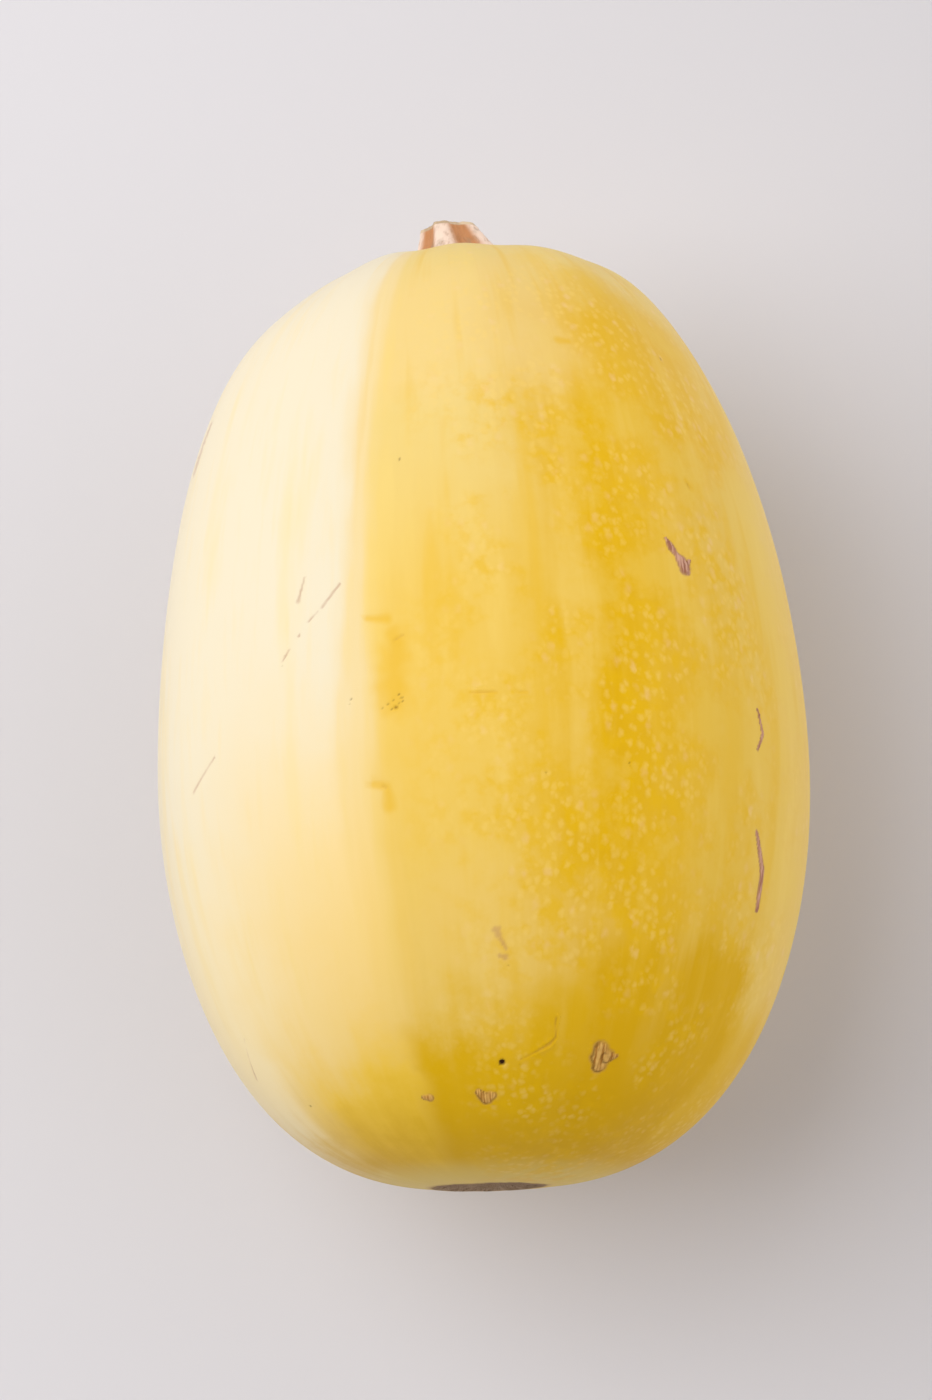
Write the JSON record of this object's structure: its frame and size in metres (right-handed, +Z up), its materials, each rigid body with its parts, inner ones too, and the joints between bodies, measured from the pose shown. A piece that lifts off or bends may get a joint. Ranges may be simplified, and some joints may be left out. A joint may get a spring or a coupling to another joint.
{
  "type": "spaghetti squash",
  "caption": "Whole ripe winter squash lying on its side, a blunt egg-shaped fruit with a corky stem stub and a blossom scar.",
  "frame": {"origin": "on the resting surface, under the middle of the whole squash", "axes": "+Z up; +Y along the fruit's long axis, towards the stem; +X to the right when the stem points away from the viewer"},
  "size_m": [0.1474, 0.2258, 0.1443],
  "materials": {
    "rind": "satin",
    "cork": "matte"
  },
  "bodies": {
    "root": {"fruit": "rind", "stem": "cork"}
  },
  "joints": []
}
